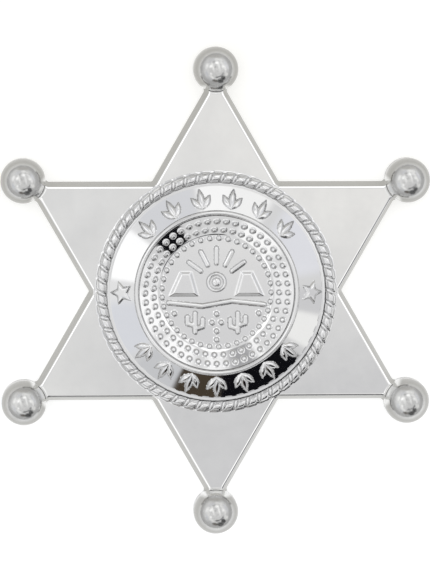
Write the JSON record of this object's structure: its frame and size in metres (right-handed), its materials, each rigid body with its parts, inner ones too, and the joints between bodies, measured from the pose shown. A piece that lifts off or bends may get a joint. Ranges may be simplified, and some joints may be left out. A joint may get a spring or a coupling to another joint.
{
  "type": "sheriff star badge",
  "caption": "Six-pointed star badge with ball tips and a raised round medallion inside a rope border, with a plain pin across its hollow back; worn on clothing.",
  "frame": {"origin": "centre of the star on the plane of its back rim", "axes": "+Z out of the badge's front, +Y from the centre to the upper arm, +X to the viewer's right"},
  "size_m": [0.0668, 0.076, 0.0057],
  "materials": {
    "plated_star": "bright plating over moulded plastic, fine handling scratches",
    "plated_balls": "bright plating over moulded plastic, mirror smooth",
    "plated_medallion": "bright plating over moulded relief, darker in the recesses",
    "pin_steel": "nickel-plated sheet and wire"
  },
  "bodies": {
    "root": {"star_plate": "plated_star", "tip_ball_1": "plated_balls", "tip_ball_2": "plated_balls", "tip_ball_3": "plated_balls", "tip_ball_4": "plated_balls", "tip_ball_5": "plated_balls", "tip_ball_6": "plated_balls", "rope_border": "plated_medallion", "medallion_band": "plated_medallion", "bezel_ring": "plated_medallion", "seal_disc": "plated_medallion", "pin_back": "pin_steel"}
  },
  "joints": []
}
